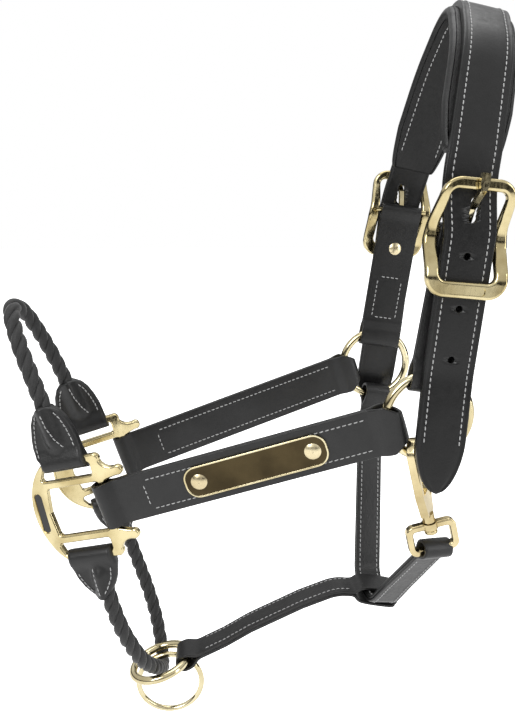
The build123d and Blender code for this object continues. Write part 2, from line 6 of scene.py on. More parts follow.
import bpy
from math import acos, atan2, ceil, cos, degrees, pi, radians, sin, sqrt, tan
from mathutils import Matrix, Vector

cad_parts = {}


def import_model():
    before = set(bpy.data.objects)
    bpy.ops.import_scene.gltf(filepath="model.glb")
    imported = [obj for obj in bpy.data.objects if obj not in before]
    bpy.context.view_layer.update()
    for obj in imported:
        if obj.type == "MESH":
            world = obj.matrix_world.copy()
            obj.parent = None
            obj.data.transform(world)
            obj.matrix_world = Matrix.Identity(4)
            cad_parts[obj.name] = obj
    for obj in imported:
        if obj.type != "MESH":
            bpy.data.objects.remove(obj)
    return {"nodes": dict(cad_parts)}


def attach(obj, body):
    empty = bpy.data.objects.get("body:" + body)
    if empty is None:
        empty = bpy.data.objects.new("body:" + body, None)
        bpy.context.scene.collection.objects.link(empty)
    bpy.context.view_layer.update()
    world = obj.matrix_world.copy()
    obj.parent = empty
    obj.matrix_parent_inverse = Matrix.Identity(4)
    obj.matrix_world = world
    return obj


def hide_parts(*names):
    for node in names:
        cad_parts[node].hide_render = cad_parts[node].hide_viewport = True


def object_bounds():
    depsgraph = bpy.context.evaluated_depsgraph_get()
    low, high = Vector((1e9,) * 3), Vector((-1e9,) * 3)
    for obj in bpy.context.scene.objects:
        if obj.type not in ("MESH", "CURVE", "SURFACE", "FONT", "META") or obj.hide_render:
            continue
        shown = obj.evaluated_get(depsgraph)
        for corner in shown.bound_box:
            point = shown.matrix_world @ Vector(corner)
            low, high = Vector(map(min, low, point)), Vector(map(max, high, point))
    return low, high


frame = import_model()
CAD_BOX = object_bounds()
nodes = frame["nodes"]
MM = 0.001

# ---- sizes shared with the CAD model -----------------------------------------------------------
SIDE_Y = 57.0
BUCKLE_AT = (-20.5, -SIDE_Y, -96.0)
BUCKLE_SLIDE = {"near": -5.3, "far": 4.2}
BUCKLE_LEAN, CROWN_LEAN, CROWN_TURN, CROWN_SHIFT = 5.0, 12.0, 3.1, -3.2
TONGUE_HOLE, HOLE_PITCH = 13.8, 24.0
RING_AT = (-33.0, -SIDE_Y, -189.0)
RING_R = 20.7
BILLET_OUT = 6.4
STRAP_TILT, STRAP_YAW, STRAP_START, STRAP_LENGTH = 18.0, 8.0, 18.6, 151.0
SQUARE_TILT, SQUARE_YAW, SQUARE_ROLL = 14.0, 13.0, 5.0
SLOT_BAR = 26.5
JAW_RING_AT, JAW_RING_R, JAW_RING_SLOPE = (-172.5, -4.0, -361.0), 17.3, 15.0
THROAT_SLOPE, THROAT_X, THROAT_BOTTOM = (0.125, -0.167), 10.5, -316.7
HOOK_ANGLE, SNAP_TILT = 256.0, 14.0
WIRE_IN_HOOK, EYE_BOTTOM = 30.7, -21.8
LAYER = 0.95                # middle of each layer of a doubled strap, from the strap's middle

NOSE_ROPE_ROUTE = [
    (-219, -29, -210), (-225, -26, -192), (-231, -24, -175), (-237, -20, -160), (-242, -13, -147),
    (-244.5, -4.5, -141.5), (-244.5, 4.5, -141.5),
    (-242, 13, -147), (-237, 20, -160), (-231, 24, -175), (-225, 26, -192), (-219, 29, -210),
]
CHIN_ROPE_ROUTE = [
    (-199, -35, -277), (-196, -36, -293), (-191, -37, -311), (-185, -34, -328), (-180, -29, -341),
    (-176.5, -19, -352), (-174, -7, -362.5), (-173, 5, -372), (-173, 13, -376.5), (-174, 21, -374.5),
    (-176, 27, -363), (-179, 30, -347), (-184.5, 34, -329), (-191, 37, -311), (-196, 36, -293),
    (-199, 35, -277),
]


# ---- materials ---------------------------------------------------------------------------------
def shader(name, **sockets):
    """A material with a Principled shader, and that shader's node tree."""
    material = bpy.data.materials.new(name)
    material.use_nodes = True
    tree = material.node_tree
    body = tree.nodes["Principled BSDF"]
    for key, value in sockets.items():
        body.inputs[key.replace("_", " ")].default_value = value
    return material, tree, body


def noise(tree, scale, detail=3.0, kind="ShaderNodeTexNoise", stretch=None):
    """A texture in the object's own coordinates, in metres."""
    place = tree.nodes.new("ShaderNodeTexCoord")
    texture = tree.nodes.new(kind)
    texture.inputs["Scale"].default_value = scale
    if kind == "ShaderNodeTexNoise":
        texture.inputs["Detail"].default_value = detail
    source = place.outputs["Object"]
    if stretch:
        mapping = tree.nodes.new("ShaderNodeMapping")
        mapping.inputs["Scale"].default_value = stretch
        tree.links.new(source, mapping.inputs["Vector"])
        source = mapping.outputs["Vector"]
    tree.links.new(source, texture.inputs["Vector"])
    return texture


def ramp(tree, source, stops):
    """A colour ramp fed by a texture's first value; stops are (place, colour)."""
    node = tree.nodes.new("ShaderNodeValToRGB")
    while len(node.color_ramp.elements) < len(stops):
        node.color_ramp.elements.new(0.5)
    for element, (place, colour) in zip(node.color_ramp.elements, stops):
        element.position = place
        element.color = (*colour, 1.0)
    tree.links.new(source, node.inputs["Fac"])
    return node.outputs["Color"]


def grey(value):
    return (value, value, value)


def bump(tree, body, layers):
    """Stacks bumps: each layer is (height output, distance in millimetres, strength)."""
    normal = None
    for height, distance, strength in layers:
        node = tree.nodes.new("ShaderNodeBump")
        node.inputs["Distance"].default_value = distance * MM
        node.inputs["Strength"].default_value = strength
        tree.links.new(height, node.inputs["Height"])
        if normal:
            tree.links.new(normal, node.inputs["Normal"])
        normal = node.outputs["Normal"]
    tree.links.new(normal, body.inputs["Normal"])


def leather(name, dark, light, rough, grain=1.0):
    """Black leather: fine pores, soft creases and a little unevenness in colour and gloss."""
    material, tree, body = shader(name, Specular_IOR_Level=0.42)
    cloud = noise(tree, 45, 4)
    pores = noise(tree, 1500, kind="ShaderNodeTexVoronoi")
    crease = noise(tree, 420, 5)
    colour = ramp(tree, cloud.outputs["Fac"], [(0.3, dark), (0.7, light)])
    tree.links.new(colour, body.inputs["Base Color"])
    gloss = ramp(tree, crease.outputs["Fac"], [(0.3, grey(rough - 0.06)), (0.75, grey(rough + 0.08))])
    tree.links.new(gloss, body.inputs["Roughness"])
    bump(tree, body, [
        (pores.outputs["Distance"], 0.12 * grain, 0.5),
        (crease.outputs["Fac"], 0.16 * grain, 0.6),
    ])
    return material


def brass(name, colour, deep, rough):
    """Polished brass with faint tarnish clouds and fine polishing marks."""
    material, tree, body = shader(name, Metallic=1.0)
    cloud = noise(tree, 60, 5)
    tint = ramp(tree, cloud.outputs["Fac"], [(0.32, deep), (0.62, colour)])
    tree.links.new(tint, body.inputs["Base Color"])
    marks = noise(tree, 900, 6, stretch=(1.0, 1.0, 0.25))
    gloss = ramp(tree, marks.outputs["Fac"], [(0.3, grey(rough - 0.05)), (0.7, grey(rough + 0.07))])
    tree.links.new(gloss, body.inputs["Roughness"])
    soft = noise(tree, 160, 2)
    bump(tree, body, [(soft.outputs["Fac"], 0.12, 0.5), (marks.outputs["Fac"], 0.01, 0.4)])
    return material


def thread(name, dark, light, rough, scale):
    """Waxed thread or rope yarn: fine fibres across a soft sheen."""
    material, tree, body = shader(name, Sheen_Weight=0.25, Sheen_Roughness=0.4)
    fibre = noise(tree, scale, 4)
    colour = ramp(tree, fibre.outputs["Fac"], [(0.3, dark), (0.7, light)])
    tree.links.new(colour, body.inputs["Base Color"])
    body.inputs["Roughness"].default_value = rough
    bump(tree, body, [(fibre.outputs["Fac"], 0.18, 0.7)])
    return material


STRAP_FACE = leather("strap_face", grey(0.0085), grey(0.016), 0.36)
STRAP_EDGE = leather("strap_edge", grey(0.004), grey(0.008), 0.34, 0.5)
BACKING = leather("backing_face", grey(0.007), grey(0.014), 0.42, 1.2)
LINING = leather("lining_face", grey(0.005), grey(0.010), 0.60, 1.4)
TAB_FACE = leather("tab_face", grey(0.008), grey(0.016), 0.36)
THREAD = thread("seam_thread", grey(0.26), grey(0.50), 0.6, 2600)
ROPE = thread("rope_yarn", grey(0.006), grey(0.022), 0.62, 1700)
BRASS_CAST = brass("cast_brass", (0.72, 0.62, 0.36), (0.46, 0.37, 0.18), 0.14)
BRASS_PLAIN = brass("plain_brass", (0.78, 0.70, 0.46), (0.58, 0.49, 0.28), 0.11)
# The nameplate is polished brass. Its near-black base colour is a painted dark reflection of the surroundings,
# not the metal's own colour.
PLATE_DARK_REFLECTION = brass("plate_painted_dark_reflection", (0.075, 0.056, 0.028), (0.045, 0.034, 0.018), 0.20)
BRASS_SNAP = brass("snap_brass", (0.72, 0.61, 0.36), (0.50, 0.40, 0.21), 0.16)
RIVET = brass("rivet_metal", (0.80, 0.70, 0.46), (0.62, 0.52, 0.32), 0.28)
ENAMEL = shader("panel_enamel", Base_Color=(0.006, 0.005, 0.004, 1), Roughness=0.3)[0]


# ---- frames ------------------------------------------------------------------------------------
class Plane:
    """Origin and three axes of a local frame on the near side."""

    def __init__(self, origin, x, y, z):
        self.origin, self.x, self.y, self.z = Vector(origin), Vector(x), Vector(y), Vector(z)

    def at(self, x, y, z=0.0):
        return self.origin + self.x * x + self.y * y + self.z * z


def leaning_plane(origin, lean):
    a = radians(lean)
    return Plane(origin, (cos(a), 0, -sin(a)), (sin(a), 0, cos(a)), (0, -1, 0))


def tilted_plane(origin, tilt, yaw, roll=0.0):
    t, w, r = radians(tilt), radians(yaw), radians(roll)
    rear = Vector((cos(t) * cos(w), -sin(w), sin(t) * cos(w)))
    up = Vector((-sin(t), 0, cos(t)))
    out = rear.cross(up)
    rear = rear.normalized()
    normal = rear.cross((up * cos(r) - out * sin(r))).normalized()
    return Plane(origin, rear, normal.cross(rear), normal)


def bar_plane(side):
    """A buckle's own plane: its bar is local x."""
    return leaning_plane(leaning_plane(BUCKLE_AT, BUCKLE_LEAN).at(0, BUCKLE_SLIDE[side]), BUCKLE_LEAN)


def chape_plane(side):
    """Plane of a chape, from its bar down to the ring's centre, and the distance between the two."""
    bar = bar_plane(side).origin
    lean = degrees(atan2(bar.x - RING_AT[0], bar.z - RING_AT[2]))
    return leaning_plane(bar, lean), (bar - Vector(RING_AT)).length


tilt = radians(STRAP_TILT)
STRAP_ORIGIN = (RING_AT[0] - STRAP_START * cos(tilt), -SIDE_Y, RING_AT[2] - STRAP_START * sin(tilt))
STRAP = tilted_plane(STRAP_ORIGIN, STRAP_TILT, STRAP_YAW)
SQUARE = tilted_plane(STRAP.at(-STRAP_LENGTH, 0), SQUARE_TILT, SQUARE_YAW, SQUARE_ROLL)


# ---- curves ------------------------------------------------------------------------------------
def rounded_line(points, radii, step=1.5):
    """Straight runs joined by arcs, sampled about every step."""
    points = [Vector(p) for p in points]
    line = [points[0]]
    for before, here, after, radius in zip(points, points[1:], points[2:], radii):
        arrive, leave = (here - before).normalized(), (after - here).normalized()
        turn = acos(max(-1.0, min(1.0, arrive.dot(leave))))
        back = radius * tan(turn / 2)
        inward = (leave - arrive * arrive.dot(leave)).normalized()
        start = here - arrive * back
        line += straight(line[-1], start, step)
        count = max(2, ceil(radius * turn / step))
        for i in range(1, count + 1):
            a = turn * i / count
            line.append(start + arrive * (radius * sin(a)) + inward * (radius * (1 - cos(a))))
    return line + straight(line[-1], points[-1], step)


def straight(start, end, step):
    """Points after start, up to and with end."""
    count = max(1, round((end - start).length / step))
    return [start.lerp(end, i / count) for i in range(1, count + 1)]


def smooth_line(points, step=1.0, closed=False):
    """A soft curve through every point, which may carry a width direction as three more numbers."""
    last = len(points)
    spans = last if closed else last - 1
    line = []
    for i in range(spans):
        if closed:
            p0, p1, p2, p3 = (points[(i + k) % last] for k in (-1, 0, 1, 2))
        else:
            p0, p1, p2, p3 = (points[min(max(i + k, 0), last - 1)] for k in (-1, 0, 1, 2))
        count = max(2, ceil((p2 - p1).length / step))
        for k in range(count):
            t = k / count
            line.append(0.5 * (2 * p1 + (p2 - p0) * t + (2 * p0 - 5 * p1 + 4 * p2 - p3) * t ** 2
                               + (3 * p1 - p0 - 3 * p2 + p3) * t ** 3))
    return line if closed else line + [points[-1]]


def six(place, width):
    return Vector((*place, *width))


def frames_along(line, across):
    """For each point: the point, the direction along, across and out of the strap."""
    result = []
    for i, here in enumerate(line):
        along = (line[min(i + 1, len(line) - 1)] - line[max(i - 1, 0)]).normalized()
        width = across[i] if isinstance(across, list) else across
        width = (width - along * width.dot(along)).normalized()
        result.append((here, along, width, along.cross(width)))
    return result


def fold(end, along, width, out, reach, radius):
    """Leather round a wire: from the layer on the out side, past the wire, to the other layer."""
    neck = radius + 6.5
    over = [(reach + radius * cos(radians(a)), radius * sin(radians(a))) for a in (72, 36, 0, -36, -72)]
    start = [(-reach - 0.62 * neck, LAYER + 0.25), (-reach - 1.5, 0.9 * radius)]
    flat = start + over + [(x, -y) for x, y in reversed(start)]
    return [six(end + along * x + out * y, width) for x, y in flat], reach + neck


def doubled(line, across, start, end):
    """Closed path of a strap folded double; start and end are (reach, radius) of its folds."""
    frames = frames_along(line, across)
    here, along, width, out = frames[-1]
    end_fold, end_neck = fold(here, along, width, out, *end)
    here, along, width, out = frames[0]
    start_fold, start_neck = fold(here, -along, width, -out, *start)
    upper, lower = [], []
    for here, along, width, out in frames:
        if (here - frames[0][0]).length > start_neck and (here - frames[-1][0]).length > end_neck:
            upper.append(six(here + out * LAYER, width))
            lower.append(six(here - out * LAYER, width))
    path = smooth_line(upper + end_fold + lower[::-1] + start_fold, closed=True)
    return [Vector(p[:3]) for p in path], [Vector(p[3:]) for p in path]


# ---- meshes ------------------------------------------------------------------------------------
def piece(name, body, verts, faces, materials, indices=None, far=False):
    """A mesh in the row frame that rides on a body; far puts it on the far side."""
    if far:
        verts = [(v[0], -v[1], v[2]) for v in verts]
        faces = [tuple(reversed(f)) for f in faces]
    mesh = bpy.data.meshes.new(name)
    mesh.from_pydata([Vector(v) * MM for v in verts], [], faces)
    for material in materials:
        mesh.materials.append(material)
    if indices:
        mesh.polygons.foreach_set("material_index", indices)
    mesh.polygons.foreach_set("use_smooth", [True] * len(mesh.polygons))
    mesh.validate()
    obj = bpy.data.objects.new(name, mesh)
    bpy.context.scene.collection.objects.link(obj)
    weighted = obj.modifiers.new("weighted", "WEIGHTED_NORMAL")
    weighted.weight = 80
    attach(obj, body)
    return obj


def strap_section(half, thick, edge=0.55, crease=None, swell=0.0):
    """Outline of a strap as (across, out), clockwise from the middle of its outer face."""
    t = thick / 2
    edge = min(edge, t * 0.95, half * 0.5)
    top = [(0, t + swell), (half * 0.4, t + swell * 0.8)]
    if crease and half > crease + 2:
        groove = half - crease
        top += [(groove - 0.6, t + swell * 0.3), (groove, t - 0.25), (groove + 0.6, t)]
    else:
        top += [(half * 0.7, t + swell * 0.5), (half * 0.8, t + swell * 0.3), (half * 0.88, t)]
    top += [(half - edge, t)]
    top += [(half - edge + edge * sin(radians(a)), t - edge + edge * cos(radians(a))) for a in (30, 60)]
    top += [(half, t - edge)]
    right = top + [(x, -min(y, t)) for x, y in reversed(top)]
    return right + [(-x, y) for x, y in reversed(right)][1:-1]


def sweep(line, across, halves, thick, closed=False, lined=False, **section):
    """Strap along points: vertices, faces, and each face's kind (0 outer, 1 cut edge, 2 inner)."""
    verts, faces, kinds = [], [], []
    count = len(line)
    for i, here in enumerate(line):
        before = line[i - 1] if closed or i else here
        after = line[(i + 1) % count] if closed or i < count - 1 else here
        along = (after - before).normalized()
        width = across[i] if isinstance(across, list) else across
        width = (width - along * width.dot(along)).normalized()
        out = along.cross(width)
        half = halves(here) if callable(halves) else halves
        outline = strap_section(half, thick, **section)
        verts += [here + width * x + out * y for x, y in outline]
    size = len(outline)
    for i in range(count if closed else count - 1):
        a, b = i * size, ((i + 1) % count) * size
        for k in range(size):
            m = (k + 1) % size
            faces.append((a + k, b + k, b + m, a + m))
            low = outline[k][1] + outline[m][1] < 0
            kinds.append(1 if on_edge(outline, k) else 2 if lined and low else 0)
    if not closed:
        faces.append(tuple(range(size)))
        faces.append(tuple(reversed(range((count - 1) * size, count * size))))
        kinds += [1, 1]
    return verts, faces, kinds


def on_edge(outline, k):
    """True for the part of a section that is the strap's cut edge."""
    widest = max(x for x, _ in outline)
    return min(abs(outline[k][0]), abs(outline[(k + 1) % len(outline)][0])) > widest - 0.6


def cut_away(obj, cutters):
    """Holes: each cutter is (centre, axis, half length, outline points round the axis)."""
    for centre, axis, reach, outline in cutters:
        axis = axis.normalized()
        side = axis.orthogonal().normalized()
        other = axis.cross(side)
        count = len(outline)
        verts = [centre + axis * s + side * x + other * y for s in (-reach, reach) for x, y in outline]
        faces = [tuple(reversed(range(count))), tuple(range(count, 2 * count))]
        faces += [(k, (k + 1) % count, count + (k + 1) % count, count + k) for k in range(count)]
        mesh = bpy.data.meshes.new("cutter")
        mesh.from_pydata([v * MM for v in verts], [], faces)
        tool = bpy.data.objects.new("cutter", mesh)
        bpy.context.scene.collection.objects.link(tool)
        modifier = obj.modifiers.new("hole", "BOOLEAN")
        modifier.object = tool
        modifier.solver = "EXACT"
        weighted = obj.modifiers["weighted"]
        weighted.show_viewport = False
        bpy.context.view_layer.update()
        shape = bpy.data.meshes.new_from_object(obj.evaluated_get(bpy.context.evaluated_depsgraph_get()))
        obj.modifiers.remove(modifier)
        weighted.show_viewport = True
        obj.data = shape
        bpy.data.objects.remove(tool)


def round_outline(radius, count=20):
    return [(radius * cos(2 * pi * k / count), radius * sin(2 * pi * k / count)) for k in range(count)]


def mirrored(place):
    return Vector((place[0], -place[1], place[2]))


def strap(name, body, line, across, halves, thick, replaced=(), far=False, materials=None, **kw):
    verts, faces, kinds = sweep(line, across, halves, thick, **kw)
    obj = piece(name, body, verts, faces, materials or [STRAP_FACE, STRAP_EDGE], kinds, far)
    if replaced:
        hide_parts(*replaced)
    return obj


STITCH_PITCH, STITCH_LENGTH, STITCH_WIDE, STITCH_HIGH = 2.9, 2.1, 0.33, 0.26


def stitches(name, body, seams, far=False, pitch=STITCH_PITCH):
    """Stitches along seams: each seam is (points on the surface, outward normals)."""
    verts, faces = [], []
    for points, normals in seams:
        points = [Vector(p) for p in points]
        reach = [0.0]
        for a, b in zip(points, points[1:]):
            reach.append(reach[-1] + (b - a).length)
        count = max(1, int(reach[-1] / pitch))
        spare = (reach[-1] - count * pitch) / 2
        for n in range(count):
            middle = spare + (n + 0.5) * pitch
            add_stitch(verts, faces, points, normals, reach, middle)
    obj = piece(name, body, verts, faces, [THREAD], None, far)
    return obj


def place_on(points, normals, reach, distance):
    """Point and normal at a distance along a seam."""
    i = 0
    while i < len(reach) - 2 and reach[i + 1] < distance:
        i += 1
    t = (distance - reach[i]) / max(reach[i + 1] - reach[i], 1e-6)
    normal = Vector(normals[i]).lerp(Vector(normals[i + 1]), t)
    return points[i].lerp(points[i + 1], t), normal.normalized()


# Rings of one stitch: place along it, swell and lift, as shares of its length, width and height.
STITCH_RINGS = [
    (-0.5, 0.25, -0.25), (-0.36, 0.8, 0.3), (0.0, 1.0, 0.75), (0.36, 0.8, 0.3), (0.5, 0.25, -0.25),
]
STITCH_SIDES, STITCH_SLANT = 6, 0.12


def add_stitch(verts, faces, points, normals, reach, middle):
    """One plump stitch, sunk at both ends."""
    a, _ = place_on(points, normals, reach, middle - STITCH_LENGTH / 2)
    b, _ = place_on(points, normals, reach, middle + STITCH_LENGTH / 2)
    centre, out = place_on(points, normals, reach, middle)
    along = (b - a).normalized()
    across = out.cross(along).normalized()
    start = len(verts)
    sides = STITCH_SIDES
    for place, swell, lift in STITCH_RINGS:
        here = centre + along * (STITCH_LENGTH * place) + across * (STITCH_SLANT * place)
        here = here + out * (STITCH_HIGH * lift)
        wide, high = across * (STITCH_WIDE * swell), out * (STITCH_HIGH * swell)
        for k in range(sides):
            a = 2 * pi * k / sides
            verts.append(here + wide * cos(a) + high * sin(a))
    last = len(STITCH_RINGS) - 1
    for r in range(last):
        for k in range(sides):
            m = (k + 1) % sides
            base = start + r * sides
            faces.append((base + k, base + m, base + sides + m, base + sides + k))
    faces.append(tuple(start + k for k in reversed(range(sides))))
    faces.append(tuple(start + last * sides + k for k in range(sides)))


def seam(frames, aside, lift, first=0.0, last=None, face=1):
    """A stitch line along a strap, aside from its middle, on its outer (1) or inner (-1) face."""
    points, normals, reach = [], [], 0.0
    before = frames[0][0]
    for here, _, width, out in frames:
        reach += (here - before).length
        before = here
        if reach >= first and (last is None or reach <= last):
            points.append(here + width * aside + out * (lift * face))
            normals.append(out * face)
    return points, normals


def crossing(frames, aside, lift, at, face=1):
    """A stitch line across a strap, at a distance along it."""
    points, normals = seam(frames, 0, lift, at, at + 4, face)
    width = min(frames, key=lambda f: (f[0] - points[0]).length)[2]
    return [points[0] - width * aside, points[0] + width * aside], [normals[0]] * 2


def box_seam(frames, aside, lift, first, last, faces=(1, -1)):
    """A stitched rectangle on a strap."""
    seams = []
    for face in faces:
        seams += [seam(frames, a, lift, first, last, face) for a in (-aside, aside)]
        seams += [crossing(frames, aside - 1.5, lift, at, face) for at in (first, last)]
    return seams


# ---- crown -------------------------------------------------------------------------------------
BILLET_Y = SIDE_Y + BILLET_OUT
HALF_BILLET, BILLET_THICK = 12.0, 3.4
TIP_LENGTH = 26.0


LEAN_CHANGES = (-104.0, -68.0)
CROWN_RADII = [80, 40, 60, 30, 60, 40, 80]


def eased(share):
    """0 to 1 with soft ends."""
    t = max(0.0, min(1.0, share))
    return t * t * (3 - 2 * t)


def crown_lean(z):
    """0 below the buckles, where the billets lean little, and 1 above them."""
    return eased((z - LEAN_CHANGES[0]) / (LEAN_CHANGES[1] - LEAN_CHANGES[0]))


def in_crown(y, z):
    """The strap's place for this Y and Z, and its width direction."""
    low, high = tan(radians(BUCKLE_LEAN)), tan(radians(CROWN_LEAN))
    share = crown_lean(z)
    turn = radians(CROWN_TURN)
    crown_x = z * high + CROWN_SHIFT + y * tan(turn)
    x = (BUCKLE_AT[0] + (z - BUCKLE_AT[2]) * low) * (1 - share) + crown_x * share
    angle = radians(BUCKLE_LEAN + (CROWN_LEAN - BUCKLE_LEAN) * share)
    width = (cos(angle) * cos(turn * share), -cos(angle) * sin(turn * share), -sin(angle))
    return Vector((x, y, z)), Vector(width)


def crown_path():
    """From the near billet's tip over the poll to the far billet's tip."""
    c = cos(radians(CROWN_LEAN))
    tip = (BILLET_Y + 6.7, BUCKLE_AT[2] - 128 * cos(radians(BUCKLE_LEAN)))
    bend = (BILLET_Y, BUCKLE_AT[2] - 72)
    side = [(-tip[0], tip[1]), (-bend[0], bend[1]), (-BILLET_Y, -72 * c), (-38, -16 * c), (0, 17.4 * c)]
    corners = side + [(-y, z) for y, z in reversed(side[:-1])]
    flat = rounded_line([(y, z, 0) for y, z in corners], CROWN_RADII, 1.2)
    return [in_crown(p[0], p[1]) for p in flat]


CROWN_PATH = crown_path()
TIPS = (CROWN_PATH[0][0], CROWN_PATH[-1][0])


def billet_half(here):
    """Half width, rounding off towards each tip."""
    gap = min((here - tip).length for tip in TIPS)
    if gap >= TIP_LENGTH:
        return HALF_BILLET
    return max(0.5, HALF_BILLET * sqrt(max(0.0, 1 - ((TIP_LENGTH - gap) / TIP_LENGTH) ** 1.7)))


def crown():
    line = [p for p, _ in CROWN_PATH]
    across = [-w for _, w in CROWN_PATH]
    obj = strap("crown_strap_leather", "headpiece", line, across, billet_half, BILLET_THICK,
                ["crown_strap"], crease=2.0, swell=0.15)
    holes = []
    for side in BUCKLE_SLIDE:
        plane = bar_plane(side)
        free = [(TONGUE_HOLE - HOLE_PITCH * i, 1.75) for i in (1, 2, 3)]
        slot = [(TONGUE_HOLE - down, 2.3) for down in (0.0, 2.4, 4.8, 7.0)]
        for y, radius in free + slot:
            place = plane.at(0, y, BILLET_OUT)
            place = mirrored(place) if side == "far" else place
            holes.append((place, Vector((0, 1, 0)), 4.5, round_outline(radius)))
    cut_away(obj, holes)
    frames = frames_along(line, across)
    stitched = [f for f in frames if f[0].z > STITCH_LOW]
    lift = BILLET_THICK / 2 + 0.08
    stitches("crown_stitches", "headpiece", [seam(stitched, a, lift) for a in (-8.6, 8.6)])
    backing(frames)


STITCH_LOW = -202.0
BACKING_HALF, BACKING_THICK, BACKING_LOW = 16.5, 5.4, -66.0


def backing(frames):
    """Padded backing with a rolled edge, tapering to the strap's width above each buckle."""
    drop = BILLET_THICK / 2 + BACKING_THICK / 2
    kept = [f for f in frames if f[0].z > BACKING_LOW]
    line = [here - out * drop for here, _, _, out in kept]
    across = [width for _, _, width, _ in kept]

    def half(here):
        gap = min((here - line[0]).length, (here - line[-1]).length)
        return HALF_BILLET + (BACKING_HALF - HALF_BILLET) * min(1.0, sqrt((gap + 0.3) / 24))

    obj = strap("crown_backing_leather", "headpiece", line, across, half, BACKING_THICK,
                ["crown_backing", "crown_padding"],
                materials=[BACKING, BACKING, LINING], lined=True, edge=2.4, swell=0.0)
    inner = frames_along(line, across)[8:-8]
    lift = BACKING_THICK / 2 + 0.05
    stitches("lining_stitches", "headpiece", [seam(inner, a, lift, face=-1) for a in (-10.5, 10.5)])


crown()


# ---- chapes, cheek straps, throat and jaw straps -----------------------------------------------
LAYER_THICK = 1.75
FACE_LIFT = LAYER + LAYER_THICK / 2 + 0.05
STRAP_HALF_WIDTH = 12.5


def run_between(a, b, step=2.0):
    return [a] + straight(a, b, step)


def doubled_strap(name, body, line, across, halves, start, end, node, far=False, seams=()):
    path, widths = doubled(line, across, start, end)
    obj = strap(name, body, path, widths, halves, LAYER_THICK, [node], far, closed=True, swell=0.12)
    if seams:
        stitches(name + "_stitches", body, seams, far)
    return obj


CHAPE_SLOT = (2.9, 6.5)     # half width and half length of the square box cut away at the tongue's knuckle


def chape(side, far):
    plane, to_ring = chape_plane(side)
    line = run_between(plane.at(0, RING_R - 2.1 - to_ring), plane.at(0, 0))
    frames = frames_along(line, -plane.x)
    total = (line[-1] - line[0]).length
    seams = box_seam(frames, 7.6, FACE_LIFT, total - 68, total - 42)
    obj = doubled_strap(f"{side}_chape_leather", "headpiece", line, -plane.x, STRAP_HALF_WIDTH,
                        (2.1, 4.0), (0.0, 2.5), f"{side}_chape", far, seams)
    slot, axis = plane.at(0, -0.4), plane.x
    if far:
        slot, axis = mirrored(slot), mirrored(axis)
    half, length = CHAPE_SLOT
    outline = [(-length, -half), (-length, half), (length, half), (length, -half)]
    cut_away(obj, [(slot, axis, half, outline)])


def cheek_half(here):
    """The strap narrows where it folds round the ring."""
    x = (here - STRAP.origin).dot(STRAP.x)
    return STRAP_HALF_WIDTH if x < -1 else max(6.0, STRAP_HALF_WIDTH - (x + 1) * 0.75)


def cheek_strap(side, far):
    line = run_between(STRAP.at(-STRAP_LENGTH, 0), STRAP.at(0, 0))
    frames = frames_along(line, STRAP.y)
    seams = box_seam(frames, 8.2, FACE_LIFT, STRAP_LENGTH - 130, STRAP_LENGTH - 9.5)
    doubled_strap(f"{side}_cheek_strap_leather", "face", line, STRAP.y, cheek_half,
                  (0.0, 4.3), (2.1, 4.1), f"{side}_cheek_strap", far, seams)


THROAT_NORMAL = Vector((1, *THROAT_SLOPE)).normalized()
snap = radians(SNAP_TILT)
SNAP_UP = Vector((-sin(snap), 0, cos(snap)))
SNAP_REAR = Vector((cos(snap), 0, sin(snap)))
hook = radians(HOOK_ANGLE)
SNAP_FOOT = Vector(RING_AT) + Vector((cos(hook), 0, sin(hook))) * RING_R - SNAP_UP * WIRE_IN_HOOK
THROAT_HALF = 8.0


def throat_place(y, z):
    return Vector((THROAT_X - THROAT_SLOPE[0] * y - THROAT_SLOPE[1] * z, y, z))


def throat_line():
    """From the far ring's foot, under the throat and up to the snap's eye, with its width directions."""
    eye = SNAP_FOOT + SNAP_UP * EYE_BOTTOM
    corners = [throat_place(57, -209.7), throat_place(54.5, -232), throat_place(10, THROAT_BOTTOM + 0.3),
               throat_place(-16, THROAT_BOTTOM), throat_place(-30, -297), eye]
    line = rounded_line(corners, [30, 14, 12, 20], 2.0)
    across = []
    for here in line:
        t = max(0.0, min(1.0, (-14 - here.y) / 38))
        across.append(-(THROAT_NORMAL * (1 - t) + SNAP_REAR * t).normalized())
    return line, across


def throat_strap():
    line, across = throat_line()
    frames = frames_along(line, across)
    length = sum((b - a).length for a, b in zip(line, line[1:]))
    seams = [seam(frames, a, FACE_LIFT, 12, length - 9, face) for a in (-5.6, 5.6) for face in (1, -1)]
    doubled_strap("throat_strap_leather", "face", line, across, THROAT_HALF, (1.0, 4.7), (0.0, 4.2),
                  "throat_strap", False, seams)


JAW_HALF = 8.0
JAW_LINE = [(-133, -345), (-118, -336), (-87, -321), (-66, -313)]


def jaw_strap():
    slope = radians(JAW_RING_SLOPE)
    y = JAW_RING_AT[1]
    wire = Vector(JAW_RING_AT) + Vector((cos(slope), 0, sin(slope))) * (JAW_RING_R - 1)
    under = throat_place(y, THROAT_BOTTOM)
    corners = [wire] + [Vector((x, y, z)) for x, z in JAW_LINE]
    corners += [Vector((under.x - 14, y, THROAT_BOTTOM + 2.6)), under]
    line = rounded_line(corners, [25, 25, 25, 25, 20], 2.0)
    across = Vector((0, -1, 0))
    frames = frames_along(line, across)
    length = sum((b - a).length for a, b in zip(line, line[1:]))
    seams = [seam(frames, a, FACE_LIFT, 12, length - 16, face) for a in (-5.4, 5.4) for face in (1, -1)]
    doubled_strap("jaw_strap_leather", "face", line, across, JAW_HALF, (1.0, 4.5), (7.0, 5.0),
                  "jaw_strap", False, seams)


for side, far in (("near", False), ("far", True)):
    chape(side, far)
    cheek_strap(side, far)
throat_strap()
jaw_strap()


